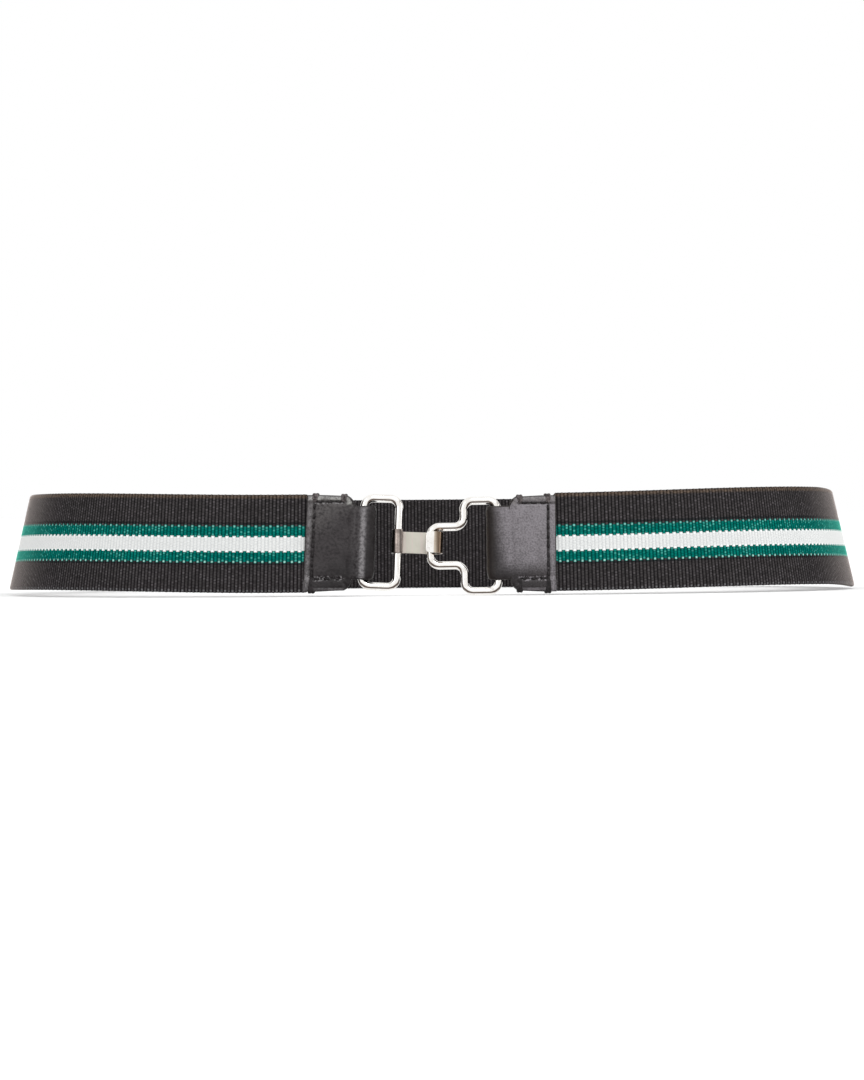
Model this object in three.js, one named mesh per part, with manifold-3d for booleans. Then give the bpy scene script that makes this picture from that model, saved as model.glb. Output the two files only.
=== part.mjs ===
// A striped elastic webbing belt, fastened into a waist loop by a ring, a hook and an eye of
// round wire, with a folded leather tab on each end of the webbing.
// Millimetres, +Z up, front of the belt towards -Y. The origin is under the middle of the loop.

import * as THREE from 'three';
import { mergeVertices } from 'three/addons/utils/BufferGeometryUtils.js';
import Module from 'manifold-3d';

const wasm = await Module();
wasm.setup();

const DEGREES = Math.PI / 180;
const MERGE_WITHIN = 1e-4;
const CURVE_STEPS = 6;

// Room left between two pieces that touch on the real belt
const GAP = 0.25;

// Waist loop: half sizes of the webbing's middle surface at half height, and how square it is
const HALF_WIDTH = 131.7;
const HALF_DEPTH = 104;
const SQUARENESS = 2.5;
const LOOP_CENTRE_Y = 0.6;
const LOOP_SAMPLES = 2000;
const FRONT_LEAN = 7 * DEGREES;
const SIDE_LEAN = 13 * DEGREES;

// Webbing: WEBBING_END is where it stops inside a tab, counted from the front middle
const WEBBING_WIDTH = 30;
const WEBBING_THICKNESS = 1.6;
const WEBBING_END = 28.5;
const WEBBING_STEPS = 170;

// How far the webbing's lower edge stands off the surface: the front hangs a little high,
// with one soft rise on each side of the body, and the back lies flat
const EDGE_LIFT = {
  left: { front: 1.55, rise: 0.95, riseAt: 62 * DEGREES, riseSpan: 38 * DEGREES },
  right: { front: 1.15, rise: 1.17, riseAt: 58 * DEGREES, riseSpan: 40 * DEGREES },
};
const LIFT_FADE = { from: 100 * DEGREES, to: 150 * DEGREES };

// Leather tabs, counted along the belt from its front middle
const LEATHER = 1.25;
const TAB = {
  outerEdge: 38.8, pocketEnd: 26.7, shoulderWide: 26.4, shoulderNarrow: 24.1,
  edgeInset: 0.15, tongueInset: 3.7, tongueCorner: 0.8, waistHalf: 1.6,
  shoulderRound: 0.9, shoulderDrop: 0.6, foldEase: 1.8, noseTrim: 0.15, flatSteps: 5,
};
const TAB_TILT = { left: 2.3 * DEGREES, right: -0.4 * DEGREES };
const FOLD_SLACK = { left: 1.25, right: 0.85 };
const CUT_MARGIN = 2;

// Round wire of the ring and the eye: their sizes are between wire centres
const WIRE = 2.5;
const WIRE_SIDES = 10;
const WIRE_TILT = { left: 2.6 * DEGREES, right: -0.6 * DEGREES };
const CLASP_HEIGHT = 16.3;
const RING = { x: -15.7, z: 0.2, width: 10.75, height: 27.3, corner: 2.8, steps: 88 };
const EYE = {
  x: 10, z: -1.15, height: 28.05, width: 10.3, corner: 2.8,
  neckLength: 10.3, neckHeight: 11.9, neckRise: 0.12, steps: 120,
};

// Hook: a strip with a sleeve rolled round the ring's leg and an open curl round the eye's neck
const HOOK = {
  sheet: 0.5, height: 6.6, sleeveHeight: 7.4, sleeveEnd: 1.25, reach: 11.35, rise: 0.5,
  curlInner: 4, tipLength: 2.8, tipRound: 1.3, steps: 64,
};

const LEATHER_FINISH = { color: 0x2d2b2e, roughness: 0.55, metalness: 0 };
const WEBBING_FINISH = { color: 0x242123, roughness: 0.9, metalness: 0 };
const METAL_FINISH = { color: 0xd9d7d3, roughness: 0.12, metalness: 1 };

// Plan of the loop at half height: a rounded oblong, its parameter 0.5 at the front middle
class WaistCurve extends THREE.Curve {
  getPoint(t, target = new THREE.Vector3()) {
    const angle = (2 * t - 1) * Math.PI;
    const acrossShare = Math.pow(Math.abs(Math.sin(angle)) / HALF_WIDTH, SQUARENESS);
    const depthShare = Math.pow(Math.abs(Math.cos(angle)) / HALF_DEPTH, SQUARENESS);
    const reach = Math.pow(acrossShare + depthShare, -1 / SQUARENESS);
    return target.set(reach * Math.sin(angle), LOOP_CENTRE_Y - reach * Math.cos(angle), 0);
  }
}

const waist = new WaistCurve();
waist.arcLengthDivisions = LOOP_SAMPLES;
const WAIST_LENGTH = waist.getLength();

// Height of the webbing's lower edge above the surface at one angle round the loop
function edgeLift(angle) {
  const side = angle < 0 ? EDGE_LIFT.left : EDGE_LIFT.right;
  const away = Math.abs(angle);
  const front = side.front * (1 - THREE.MathUtils.smoothstep(away, LIFT_FADE.from, LIFT_FADE.to));
  const fromRise = Math.min(Math.abs(away - side.riseAt) / side.riseSpan, 1);
  return front + side.rise * Math.cos(fromRise * Math.PI / 2) ** 2;
}

// Carries a point of the flat belt (along, outwards, up) to its place on the loop
function onLoop(along, outwards, up) {
  const share = THREE.MathUtils.euclideanModulo(0.5 + along / WAIST_LENGTH, 1);
  const point = waist.getPointAt(share);
  const tangent = waist.getTangentAt(share);
  const out = new THREE.Vector3(tangent.y, -tangent.x, 0);
  const lean = THREE.MathUtils.lerp(FRONT_LEAN, SIDE_LEAN, out.x ** 2);
  const angle = Math.atan2(point.x, LOOP_CENTRE_Y - point.y);
  point.addScaledVector(out, outwards - (up - WEBBING_WIDTH / 2) * Math.tan(lean));
  point.z = up + edgeLift(angle);
  return point;
}

// Moves every vertex of a geometry to where a function puts it
function reshape(geometry, place) {
  const position = geometry.attributes.position;
  for (let i = 0; i < position.count; i += 1) {
    const moved = place(position.getX(i), position.getY(i), position.getZ(i));
    position.setXYZ(i, moved.x, moved.y, moved.z);
  }
  geometry.computeVertexNormals();
  return geometry;
}

function toSolid(geometry) {
  const bare = geometry.clone();
  bare.deleteAttribute('normal');
  bare.deleteAttribute('uv');
  const merged = mergeVertices(bare, MERGE_WITHIN);
  return new wasm.Manifold(new wasm.Mesh({
    numProp: 3,
    vertProperties: new Float32Array(merged.attributes.position.array),
    triVerts: new Uint32Array(merged.index.array),
  }));
}

function toGeometry(solid) {
  const mesh = solid.getMesh();
  const geometry = new THREE.BufferGeometry();
  geometry.setAttribute('position', new THREE.BufferAttribute(mesh.vertProperties, 3));
  geometry.setIndex(new THREE.BufferAttribute(mesh.triVerts, 1));
  return geometry;
}

function namedMesh(name, geometry, finish) {
  const mesh = new THREE.Mesh(geometry, new THREE.MeshStandardMaterial(finish));
  mesh.name = name;
  return mesh;
}

// Webbing: one flat strip bent round the loop, open at the front between its two ends
function webbingBand() {
  const length = WAIST_LENGTH - 2 * WEBBING_END;
  const strip = new THREE.BoxGeometry(length, WEBBING_THICKNESS, WEBBING_WIDTH, WEBBING_STEPS);
  const bent = reshape(strip, (x, y, z) => (
    onLoop(x + WAIST_LENGTH / 2, -y, z + WEBBING_WIDTH / 2)));
  return namedMesh('webbing_band', bent, WEBBING_FINISH);
}

// Front half of a tab's level section: flat over the webbing, pinched, then round the wire
function tabFront(wireAt, foldAt, thickHalf, foldRadius) {
  const { outerEdge, shoulderWide, shoulderNarrow, waistHalf, shoulderRound, foldEase } = TAB;
  const front = new THREE.Path();
  front.moveTo(outerEdge, thickHalf);
  for (let i = 1; i <= TAB.flatSteps; i += 1) {
    front.lineTo(THREE.MathUtils.lerp(outerEdge, shoulderWide, i / TAB.flatSteps), thickHalf);
  }
  front.bezierCurveTo(
    shoulderWide - shoulderRound, thickHalf, shoulderNarrow + shoulderRound, waistHalf,
    shoulderNarrow, waistHalf);
  front.bezierCurveTo(
    wireAt + foldEase, waistHalf, wireAt + foldEase, foldRadius, wireAt, foldRadius);
  front.lineTo(foldAt, foldRadius);
  front.absarc(foldAt, 0, foldRadius, Math.PI / 2, Math.PI, false);
  return front.getPoints(CURVE_STEPS);
}

// Level section of a tab: the folded leather, its open pocket and the bore for the wire
function tabSection(wireAt, foldAt) {
  const pocketHalf = WEBBING_THICKNESS / 2 + GAP;
  const bore = WIRE / 2 + GAP;
  const front = tabFront(wireAt, foldAt, pocketHalf + LEATHER, bore + LEATHER);
  const back = front.slice(0, -1).reverse().map((p) => new THREE.Vector2(p.x, -p.y));
  const section = new THREE.Shape([
    ...front,
    ...back,
    new THREE.Vector2(TAB.outerEdge, -pocketHalf),
    new THREE.Vector2(TAB.pocketEnd, -pocketHalf),
    new THREE.Vector2(TAB.pocketEnd, pocketHalf),
    new THREE.Vector2(TAB.outerEdge, pocketHalf),
  ]);
  const hole = new THREE.Path();
  hole.moveTo(wireAt, bore);
  hole.lineTo(foldAt, bore);
  hole.absarc(foldAt, 0, bore, Math.PI / 2, 1.5 * Math.PI, false);
  hole.lineTo(wireAt, -bore);
  hole.absarc(wireAt, 0, bore, -Math.PI / 2, Math.PI / 2, false);
  section.holes.push(hole);
  return section;
}

// Outline of a tab from the front: wide over the webbing, sloped shoulders, narrower tongue
function tabOutline(tip) {
  const { shoulderWide, shoulderNarrow, tongueCorner, tongueInset } = TAB;
  const bottom = TAB.edgeInset;
  const top = WEBBING_WIDTH - TAB.edgeInset;
  const tongueTop = WEBBING_WIDTH - tongueInset;
  const past = TAB.outerEdge + CUT_MARGIN;
  const bend = shoulderNarrow + TAB.shoulderRound;
  const outline = new THREE.Shape();
  outline.moveTo(past, bottom);
  outline.lineTo(past, top);
  outline.lineTo(shoulderWide, top);
  outline.quadraticCurveTo(bend, top - TAB.shoulderDrop, shoulderNarrow, tongueTop);
  outline.lineTo(tip + tongueCorner, tongueTop);
  outline.quadraticCurveTo(tip, tongueTop, tip, tongueTop - tongueCorner);
  outline.lineTo(tip, tongueInset + tongueCorner);
  outline.quadraticCurveTo(tip, tongueInset, tip + tongueCorner, tongueInset);
  outline.lineTo(shoulderNarrow, tongueInset);
  outline.quadraticCurveTo(bend, bottom + TAB.shoulderDrop, shoulderWide, bottom);
  return outline;
}

// One leather tab: folded round the wire and closed over the webbing's end
function leatherTab(name, sideSign, wireAt, slack, tilt) {
  const foldAt = wireAt - slack;
  const tip = foldAt - WIRE / 2 - GAP - LEATHER + TAB.noseTrim;
  const folded = new THREE.ExtrudeGeometry(tabSection(wireAt, foldAt), {
    depth: WEBBING_WIDTH + 2 * CUT_MARGIN, bevelEnabled: false, curveSegments: CURVE_STEPS,
  }).translate(0, 0, -CUT_MARGIN);
  const reach = WIRE / 2 + GAP + LEATHER + CUT_MARGIN;
  const blank = new THREE.ExtrudeGeometry(tabOutline(tip), {
    depth: 2 * reach, bevelEnabled: false, curveSegments: CURVE_STEPS,
  }).rotateX(Math.PI / 2).translate(0, reach, 0);
  const flat = toGeometry(toSolid(folded).intersect(toSolid(blank)));
  const bent = reshape(flat, (x, y, z) => {
    const along = sideSign * x + (z - WEBBING_WIDTH / 2) * Math.tan(tilt);
    return onLoop(along, -sideSign * y, z);
  });
  return namedMesh(name, bent, LEATHER_FINISH);
}

// A flat closed line, drawn in a path and stood upright
class StandingLoop extends THREE.Curve {
  constructor(path) {
    super();
    this.path = path;
  }

  getPoint(t, target = new THREE.Vector3()) {
    const point = this.path.getPoint(THREE.MathUtils.euclideanModulo(t, 1));
    return target.set(point.x, 0, point.y);
  }
}

// Runs a path up to a right-angled corner and round it
function turnCorner(path, from, corner, to, radius) {
  const start = corner.clone().add(from.clone().sub(corner).setLength(radius));
  const end = corner.clone().add(to.clone().sub(corner).setLength(radius));
  const centre = start.clone().add(end).sub(corner);
  const startAngle = Math.atan2(start.y - centre.y, start.x - centre.x);
  const endAngle = Math.atan2(end.y - centre.y, end.x - centre.x);
  const clockwise = Math.sin(endAngle - startAngle) < 0;
  path.lineTo(start.x, start.y);
  path.absarc(centre.x, centre.y, radius, startAngle, endAngle, clockwise);
}

// Closed round wire bent through right-angled corners, given as [x, z] pairs
function bentWire(corners, radius, steps) {
  const points = corners.map(([x, z]) => new THREE.Vector2(x, z));
  const path = new THREE.Path();
  const start = points[0].clone().lerp(points.at(-1), 0.5);
  path.moveTo(start.x, start.y);
  points.forEach((corner, i) => {
    turnCorner(path, points.at(i - 1), corner, points[(i + 1) % points.length], radius);
  });
  path.closePath();
  return new THREE.TubeGeometry(new StandingLoop(path), steps, WIRE / 2, WIRE_SIDES, true);
}

// Left ring: an upright rounded oblong whose left leg lies in the tab's fold
function claspRing() {
  const x = RING.width / 2;
  const z = RING.height / 2;
  const wire = bentWire([[x, z], [-x, z], [-x, -z], [x, -z]], RING.corner, RING.steps);
  return namedMesh('clasp_ring', wire, METAL_FINISH);
}

// Right eye: a tall oblong with a narrow neck that reaches left into the hook
function claspEye() {
  const z = EYE.height / 2;
  const neckTop = EYE.neckRise + EYE.neckHeight / 2;
  const neckBottom = EYE.neckRise - EYE.neckHeight / 2;
  const wire = bentWire([
    [EYE.width, z], [0, z], [0, neckTop], [-EYE.neckLength, neckTop],
    [-EYE.neckLength, neckBottom], [0, neckBottom], [0, -z], [EYE.width, -z],
  ], EYE.corner, EYE.steps);
  return namedMesh('clasp_eye', wire, METAL_FINISH);
}

// Plan of the hook's strip: sleeve end, round the leg, along the back, curl and tip
function hookPlan(legX) {
  const sleeveRadius = WIRE / 2 + GAP + HOOK.sheet / 2;
  const curlRadius = (HOOK.curlInner + HOOK.sheet) / 2;
  const curlX = legX + HOOK.reach;
  const curlY = sleeveRadius - curlRadius;
  const plan = new THREE.Path();
  plan.moveTo(legX + HOOK.sleeveEnd, -sleeveRadius);
  plan.lineTo(legX, -sleeveRadius);
  plan.absarc(legX, 0, sleeveRadius, -Math.PI / 2, Math.PI / 2, true);
  plan.lineTo(curlX, sleeveRadius);
  plan.absarc(curlX, curlY, curlRadius, Math.PI / 2, -Math.PI / 2, true);
  plan.lineTo(curlX - HOOK.tipLength, curlY - curlRadius);
  return plan;
}

// Half height of the strip: tall at the sleeve, and rounded off towards the tip
function hookHalfHeight(fromSleeve, toTip) {
  const sleeveRadius = WIRE / 2 + GAP + HOOK.sheet / 2;
  if (fromSleeve < 2 * HOOK.sleeveEnd + Math.PI * sleeveRadius) {
    return HOOK.sleeveHeight / 2;
  }
  const round = HOOK.tipRound;
  const intoRound = THREE.MathUtils.clamp(round - toTip, 0, round);
  return HOOK.height / 2 - round + Math.sqrt(round ** 2 - intoRound ** 2);
}

function claspHook(legX) {
  const plan = hookPlan(legX);
  const length = plan.getLength();
  const strip = new THREE.BoxGeometry(length, HOOK.sheet, 1, HOOK.steps);
  const bent = reshape(strip, (x, y, z) => {
    const distance = x + length / 2;
    const share = THREE.MathUtils.clamp(distance / length, 0, 1);
    const point = plan.getPointAt(share);
    const tangent = plan.getTangentAt(share);
    const height = 2 * hookHalfHeight(distance, length - distance);
    return new THREE.Vector3(point.x - tangent.y * y, point.y + tangent.x * y, z * height);
  });
  return namedMesh('clasp_hook', bent, METAL_FINISH);
}

// Ring and hook hang as one from the left tab, a little out of plumb; the eye hangs from the right
function clasp() {
  const group = new THREE.Group();
  const seat = onLoop(EYE.x + EYE.width, 0, WEBBING_WIDTH / 2);
  group.position.set(0, seat.y, CLASP_HEIGHT);
  group.rotation.x = -FRONT_LEAN;
  const leftPair = new THREE.Group();
  leftPair.position.set(RING.x, 0, RING.z);
  leftPair.rotation.y = WIRE_TILT.left;
  const hook = claspHook(RING.width / 2);
  hook.position.z = HOOK.rise;
  leftPair.add(claspRing(), hook);
  const eye = claspEye();
  eye.position.set(EYE.x, 0, EYE.z);
  eye.rotation.y = WIRE_TILT.right;
  group.add(leftPair, eye);
  return group;
}

const belt = new THREE.Group();
belt.add(
  webbingBand(),
  leatherTab('leather_tab_left', -1, RING.width / 2 - RING.x, FOLD_SLACK.left, TAB_TILT.left),
  leatherTab('leather_tab_right', 1, EYE.x + EYE.width, FOLD_SLACK.right, TAB_TILT.right),
  clasp(),
);

export default belt;
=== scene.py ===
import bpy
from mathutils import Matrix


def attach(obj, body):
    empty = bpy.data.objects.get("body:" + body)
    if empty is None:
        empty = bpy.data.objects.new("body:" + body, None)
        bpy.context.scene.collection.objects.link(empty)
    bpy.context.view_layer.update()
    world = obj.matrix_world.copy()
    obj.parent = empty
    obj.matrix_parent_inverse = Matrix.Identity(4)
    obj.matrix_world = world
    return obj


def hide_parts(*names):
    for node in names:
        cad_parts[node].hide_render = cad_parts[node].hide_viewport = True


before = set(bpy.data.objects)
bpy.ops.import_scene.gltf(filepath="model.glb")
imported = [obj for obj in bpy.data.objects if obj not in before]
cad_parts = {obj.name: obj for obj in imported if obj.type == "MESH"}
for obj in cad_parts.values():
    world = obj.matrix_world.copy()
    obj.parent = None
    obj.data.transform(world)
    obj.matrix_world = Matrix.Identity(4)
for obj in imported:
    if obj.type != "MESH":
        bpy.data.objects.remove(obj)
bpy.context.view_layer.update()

import math
from types import SimpleNamespace

import bmesh
import bpy
import numpy as np
from mathutils import Matrix, Vector

MM = 0.001

# The waist loop, as in the CAD model, in millimetres
HALF_WIDTH = 131.7
HALF_DEPTH = 104
SQUARENESS = 2.5
LOOP_CENTRE_Y = 0.6
LOOP_SAMPLES = 20000
ANGLE_STEP = 1e-4
FRONT_LEAN = math.radians(7)
SIDE_LEAN = math.radians(13)
EDGE_LIFT = {
    "left": dict(front=1.55, rise=0.95, rise_at=math.radians(62), span=math.radians(38)),
    "right": dict(front=1.15, rise=1.17, rise_at=math.radians(58), span=math.radians(40)),
}
LIFT_FADE = (math.radians(100), math.radians(150))

WEBBING_WIDTH = 30
WEBBING_THICKNESS = 1.6
WEBBING_END = 28.5
RIBS = 624

# Leather tabs, as in the CAD model. Distances run along the belt from the clasp's middle.
LEATHER = 1.25
GAP = 0.25
OUTER_EDGE = 38.8
POCKET_END = 26.7
POCKET_TAPER = (0, 0.7, 0.9, 1.7)
SHOULDER_WIDE = 26.4
SHOULDER_NARROW = 24.1
SHOULDER_ROUND = 0.9
TONGUE_INSET = 3.7
WAIST_HALF = 1.6
MEETING_HALF = 0.03
FOLD_EASE = 1.8
BORE_EASE = (2.6, 2)
FOLD_SLACK = {"left": 1.25, "right": 0.85}
TAB_TILT = {"left": math.radians(2.3), "right": math.radians(-0.4)}

# The clasp, as in the CAD model
WIRE = 2.5
WIRE_TILT = {"left": math.radians(2.6), "right": math.radians(-0.6)}
CLASP_HEIGHT = 16.3
RING = SimpleNamespace(x=-15.7, z=0.2, width=10.75, height=27.3, corner=2.8)
EYE = SimpleNamespace(x=10, z=-1.15, height=28.05, width=10.3, corner=2.8, neck_length=10.3,
                      neck_height=11.9, neck_rise=0.12)
HOOK = SimpleNamespace(sheet=0.5, height=6.6, sleeve_height=7.4, sleeve_end=1.25, reach=11.35,
                       rise=0.5, curl_inner=4, tip_length=2.8, tip_round=1.3)
WIRE_AT = {"left": RING.width / 2 - RING.x, "right": EYE.x + EYE.width}

# Camera: lengths in metres, its sensor in millimetres, and pixels of the photo
CAMERA_AWAY = 2
PIXEL = 0.000307
FRONT_Y = -0.1055
CAMERA_HEIGHT = 0.02607
ROLL = 0.0081
SENSOR = 36
CLIP = (0.05, 100)
IMAGE = (864, 1080)
MIDDLE_X = 431.5
HORIZON_Y = 511


def make_camera():
    focal = CAMERA_AWAY / PIXEL
    data = bpy.data.cameras.new("camera")
    data.sensor_width = SENSOR
    data.lens = focal * SENSOR / IMAGE[1]
    data.clip_start, data.clip_end = CLIP
    camera = add_object("camera", data)
    pitch = (IMAGE[1] / 2 - HORIZON_Y) / focal
    yaw = (IMAGE[0] / 2 - MIDDLE_X) / focal
    turn = (Matrix.Rotation(-yaw, 4, "Z") @ Matrix.Rotation(math.pi / 2 - pitch, 4, "X")
            @ Matrix.Rotation(-ROLL, 4, "Z"))
    place = Matrix.Translation((0, FRONT_Y - CAMERA_AWAY, CAMERA_HEIGHT))
    camera.matrix_world = place @ turn
    bpy.context.scene.camera = camera


# Lines and points
def smoothstep(x, low, high):
    t = np.clip((x - low) / (high - low), 0, 1)
    return t * t * (3 - 2 * t)


def stacked(*parts):
    return np.stack(np.broadcast_arrays(*parts), axis=-1)


def unit(vectors):
    return vectors / np.linalg.norm(vectors, axis=-1, keepdims=True)


def left_of(tangent):
    return unit(stacked(-tangent[:, 1], tangent[:, 0]))


def run_along(points):
    """The distance run along a line at each of its points."""
    steps = np.linalg.norm(np.diff(points, axis=0), axis=1)
    return np.concatenate([[0], np.cumsum(steps)])


def bezier(points, count):
    t = np.linspace(0, 1, count)[:, None]
    a, b, c, d = (np.array(p, float) for p in points)
    return a * (1 - t) ** 3 + 3 * b * t * (1 - t) ** 2 + 3 * c * t * t * (1 - t) + d * t ** 3


def line(a, b, count):
    t = np.linspace(0, 1, count)[:, None]
    return np.array(a, float) * (1 - t) + np.array(b, float) * t


# The loop
def loop_plan(angle):
    share = ((np.abs(np.sin(angle)) / HALF_WIDTH) ** SQUARENESS
             + (np.abs(np.cos(angle)) / HALF_DEPTH) ** SQUARENESS)
    reach = share ** (-1 / SQUARENESS)
    return reach * np.sin(angle), LOOP_CENTRE_Y - reach * np.cos(angle)


LOOP_ANGLES = np.linspace(-math.pi, math.pi, LOOP_SAMPLES + 1)
LOOP_LENGTHS = run_along(stacked(*loop_plan(LOOP_ANGLES)))
WAIST_LENGTH = LOOP_LENGTHS[-1]


def edge_lift(angle):
    away = np.abs(angle)
    lifts = []
    for side in ("left", "right"):
        e = EDGE_LIFT[side]
        front = e["front"] * (1 - smoothstep(away, *LIFT_FADE))
        off = np.minimum(np.abs(away - e["rise_at"]) / e["span"], 1)
        lifts.append(front + e["rise"] * np.cos(off * math.pi / 2) ** 2)
    return np.where(angle < 0, lifts[0], lifts[1])


def on_loop(along, outwards, up):
    """Points of the flat belt, in millimetres, carried to their places on the loop."""
    along, outwards, up = np.broadcast_arrays(along, outwards, up)
    angle = np.interp(np.mod(along + WAIST_LENGTH / 2, WAIST_LENGTH), LOOP_LENGTHS, LOOP_ANGLES)
    x, y = loop_plan(angle)
    ax, ay = loop_plan(angle + ANGLE_STEP)
    bx, by = loop_plan(angle - ANGLE_STEP)
    size = np.hypot(ax - bx, ay - by)
    ox, oy = (ay - by) / size, (bx - ax) / size
    lean = FRONT_LEAN + (SIDE_LEAN - FRONT_LEAN) * ox ** 2
    out = outwards - (up - WEBBING_WIDTH / 2) * np.tan(lean)
    return stacked(x + ox * out, y + oy * out, up + edge_lift(np.arctan2(x, LOOP_CENTRE_Y - y)))


# Mesh helpers
def add_object(name, data):
    obj = bpy.data.objects.new(name, data)
    bpy.context.collection.objects.link(obj)
    return obj


def make_object(name, points, faces, materials, indices=None, uvs=None, attributes=None):
    """A smooth mesh object from points in millimetres. By name, uvs has a pair for each face
    corner, and attributes a number or a vector for each point."""
    mesh = bpy.data.meshes.new(name)
    mesh.from_pydata((np.asarray(points) * MM).tolist(), [], faces)
    mesh.update()
    for key, values in (uvs or {}).items():
        layer = mesh.uv_layers.new(name=key)
        layer.uv.foreach_set("vector", np.asarray(values, np.float32).ravel())
    for key, values in (attributes or {}).items():
        kind, field = ("FLOAT", "value") if values.ndim == 1 else ("FLOAT_VECTOR", "vector")
        layer = mesh.attributes.new(key, kind, "POINT")
        layer.data.foreach_set(field, values.astype(np.float32).ravel())
    for material in materials:
        mesh.materials.append(material)
    if indices is not None:
        mesh.polygons.foreach_set("material_index", np.asarray(indices, np.int32))
    mesh.polygons.foreach_set("use_smooth", [True] * len(mesh.polygons))
    return add_object(name, mesh)


def lattice_faces(columns, rows, closed_columns=False, closed_rows=False, first=0):
    """Quads of a lattice whose point (i, j) has the index first + i * rows + j."""
    i = np.arange(columns if closed_columns else columns - 1)
    j = np.arange(rows if closed_rows else rows - 1)
    i, j = np.meshgrid(i, j, indexing="ij")
    i2, j2 = (i + 1) % columns, (j + 1) % rows
    quads = stacked(i * rows + j, i2 * rows + j, i2 * rows + j2, i * rows + j2)
    return quads.reshape(-1, 4) + first, i.ravel(), j.ravel()


def fix_normals(obj):
    """Turns every closed shell of a mesh the right way out."""
    work = bmesh.new()
    work.from_mesh(obj.data)
    bmesh.ops.recalc_face_normals(work, faces=work.faces)
    work.to_mesh(obj.data)
    work.free()


def finish_piece(obj, node=None):
    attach(obj, "root")
    if node:
        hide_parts(node)
    return obj


# Material helpers
class Tree:
    """Short calls for building one node tree."""

    def __init__(self, tree):
        self.tree = tree
        tree.nodes.clear()

    def node(self, kind, *inputs, **settings):
        """A node with its inputs in order; settings are its properties, or inputs by name."""
        made = self.tree.nodes.new("ShaderNode" + kind)
        named = {}
        for key, value in settings.items():
            if hasattr(made, key):
                setattr(made, key, value)
            else:
                named[key] = value
        for index, value in enumerate(inputs):
            if value is not None:
                self.put(made.inputs[index], value)
        self.set(made, **named)
        return made

    def put(self, socket, value):
        """Links a socket to a node or a socket, or gives it a value. Colours are opaque."""
        if isinstance(value, bpy.types.Node):
            value = value.outputs[0]
        if isinstance(value, bpy.types.NodeSocket):
            self.tree.links.new(value, socket)
        else:
            socket.default_value = (*value, 1) if socket.type == "RGBA" else value

    def set(self, node, **inputs):
        for key, value in inputs.items():
            self.put(node.inputs[key.replace("_", " ")], value)

    def math(self, operation, a, b=None, c=None):
        return self.node("Math", a, b, c, operation=operation).outputs[0]

    def ramp(self, value, slope, start):
        return self.math("MULTIPLY_ADD", value, slope, start)

    def rest(self, value):
        return self.math("SUBTRACT", 1, value)

    def times(self, first, *others):
        for other in others:
            first = self.math("MULTIPLY", first, other)
        return first

    def most(self, first, *others):
        for other in others:
            first = self.math("MAXIMUM", first, other)
        return first

    def away(self, value, centre):
        return self.math("ABSOLUTE", self.math("SUBTRACT", value, centre))

    def near(self, value, centre, gone, full):
        return self.span(self.away(value, centre), gone, full)

    def mix(self, factor, a, b):
        made = self.node("Mix", data_type="RGBA")
        for index, value in ((0, factor), (6, a), (7, b)):
            self.put(made.inputs[index], value)
        return made.outputs[2]

    def span(self, value, low, high, to_low=0, to_high=1):
        return self.node("MapRange", value, low, high, to_low, to_high,
                         interpolation_type="SMOOTHSTEP").outputs[0]

    def scaled(self, vector, *scale):
        return self.node("VectorMath", vector, scale, operation="MULTIPLY").outputs[0]

    def moved(self, vector, *offset):
        return self.node("VectorMath", vector, offset, operation="ADD").outputs[0]

    def noise(self, vector, scale=1, detail=2, rough=0.5):
        return self.node("TexNoise", Vector=vector, Scale=scale, Detail=detail, Roughness=rough).outputs[0]

    def bump(self, strength, distance, height):
        return self.node("Bump", Strength=strength, Distance=distance, Height=height)


def new_material(name):
    material = bpy.data.materials.new(name)
    material.use_nodes = True
    tree = Tree(material.node_tree)
    shader = tree.node("BsdfPrincipled")
    output = tree.node("OutputMaterial")
    tree.put(output.inputs[0], shader)
    return material, tree, shader


# Webbing. Heights are above its lower edge, and a float is a yarn's visible length on a rib.
YARN = 0.42
GREEN_FROM, WHITE_FROM, WHITE_TO, GREEN_TO = 9.2, 12.4, 16.9, 20.3
# Colours of the black, green and white stripe: the ribs' crests, which vary between two, the
# grooves, darker as painted shade, floats that glint, and the haze
CREST_DEEP = ((0.056, 0.051, 0.052), (0.001, 0.165, 0.136), (0.69, 0.702, 0.695))
CREST_PALE = ((0.063, 0.057, 0.059), (0.0035, 0.2, 0.162), (0.72, 0.728, 0.72))
GROOVE_SHADE = ((0.0115, 0.01, 0.0105), (0, 0.062, 0.052), (0.655, 0.668, 0.668))
GLINT = ((0.105, 0.095, 0.101), (0.09, 0.46, 0.39), (0.72, 0.728, 0.72))
HAZE_TINT = ((1, 0.89, 0.84), (0.24, 1, 0.76), (0.6, 0.6, 0.58))
# Rows of proud floats at the stripes' edges: height in yarns, strength and colour
TIPS = ((22, 0.85, (0.4, 0.72, 0.64)), (48, 0.5, (0.36, 0.68, 0.62)),
        (30, 1, (0.88, 0.93, 0.92)), (40, 1, (0.88, 0.93, 0.92)))
# Heights of the warm brown along the top edge, and of the light loops along the bottom one
WARM_FROM, WARM_TO = (28.4, 29.2), (30, 29.6)
LOOPS_AT = 0.6
# A rib's section, as (share of the pitch, relief)
RIB_SAMPLES = ((0, -0.16), (0.2, 0.035), (0.5, 0.09), (0.8, 0.035))
RIB_CREST = 0.09
SELVEDGE_DENT = 0.1
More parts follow.
